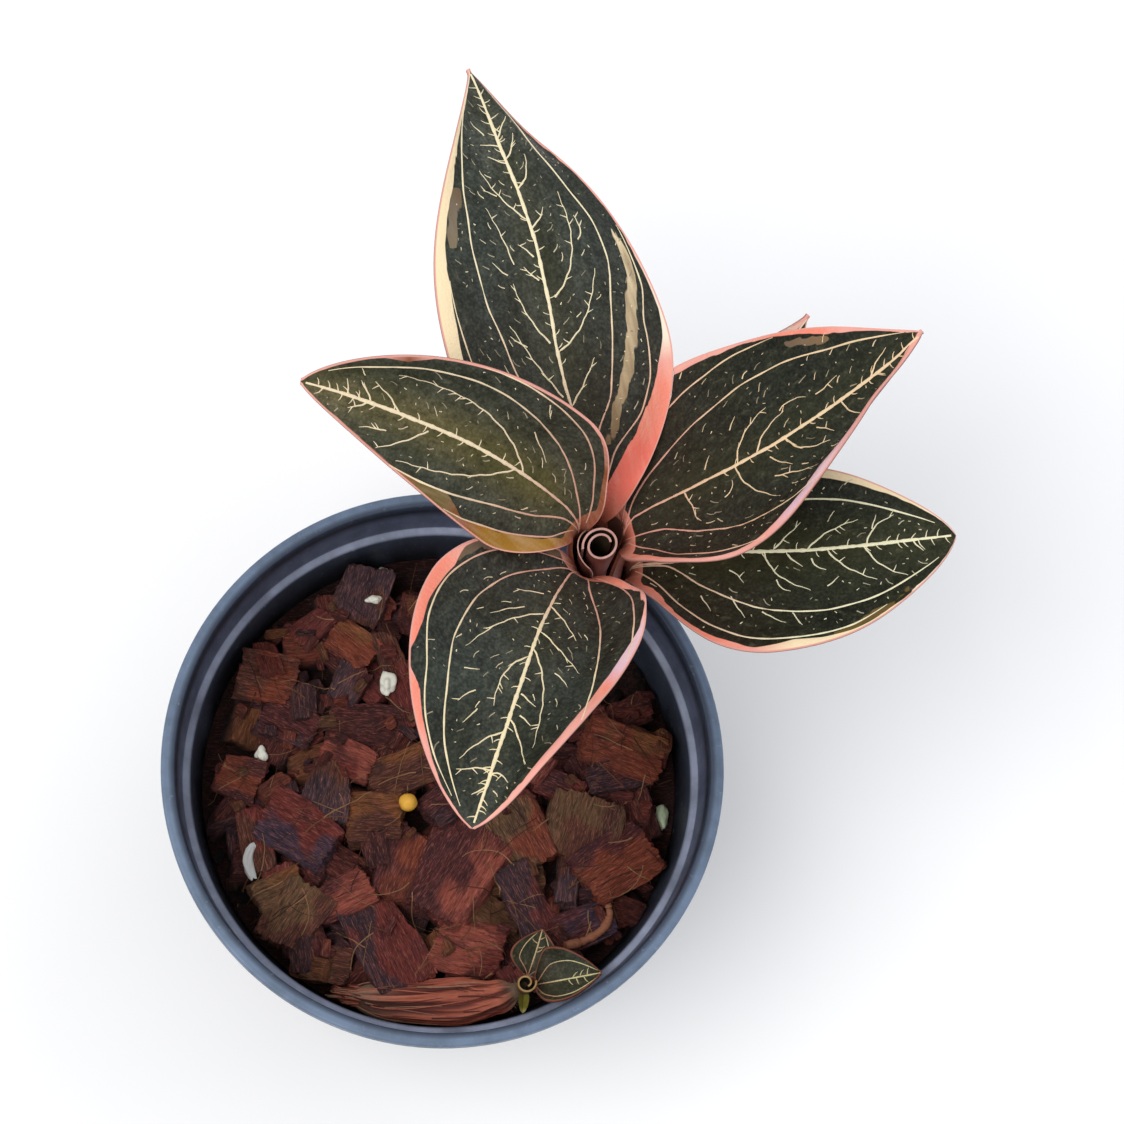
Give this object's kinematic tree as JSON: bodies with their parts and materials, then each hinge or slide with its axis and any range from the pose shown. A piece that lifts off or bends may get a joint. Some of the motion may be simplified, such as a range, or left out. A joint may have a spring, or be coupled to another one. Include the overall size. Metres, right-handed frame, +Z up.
{
  "type": "potted jewel orchid",
  "caption": "Dark-leaved jewel orchid with cream and pink veins, growing in a round plastic nursery pot filled with bark mix.",
  "frame": {"origin": "centre of the pot's flat underside", "axes": "+Z up along the pot's axis; +Y points from the pot's centre towards the side that the plant leans to, +X to the right of it"},
  "size_m": [0.1419, 0.1718, 0.1498],
  "materials": {
    "pot": "satin injection-moulded, blue-grey on the rim",
    "bark": "damp fibrous red-brown bark",
    "stem": "smooth fleshy skin with node rings",
    "leaf": "satin dark green blade with cream veins and pink margins",
    "new_leaf": "satin pinkish brown",
    "husk": "dry fibrous papery husk"
  },
  "bodies": {
    "root": {"pot": "pot", "bark_mix": "bark", "stem": "stem", "new_leaf": "new_leaf", "leaf_1": "leaf", "leaf_2": "leaf", "leaf_3": "leaf", "leaf_4": "leaf", "leaf_5": "leaf", "leaf_6": "leaf", "offshoot_stem": "husk", "offshoot_leaf_1": "leaf", "offshoot_leaf_2": "leaf", "offshoot_new_leaf": "new_leaf"}
  },
  "joints": []
}
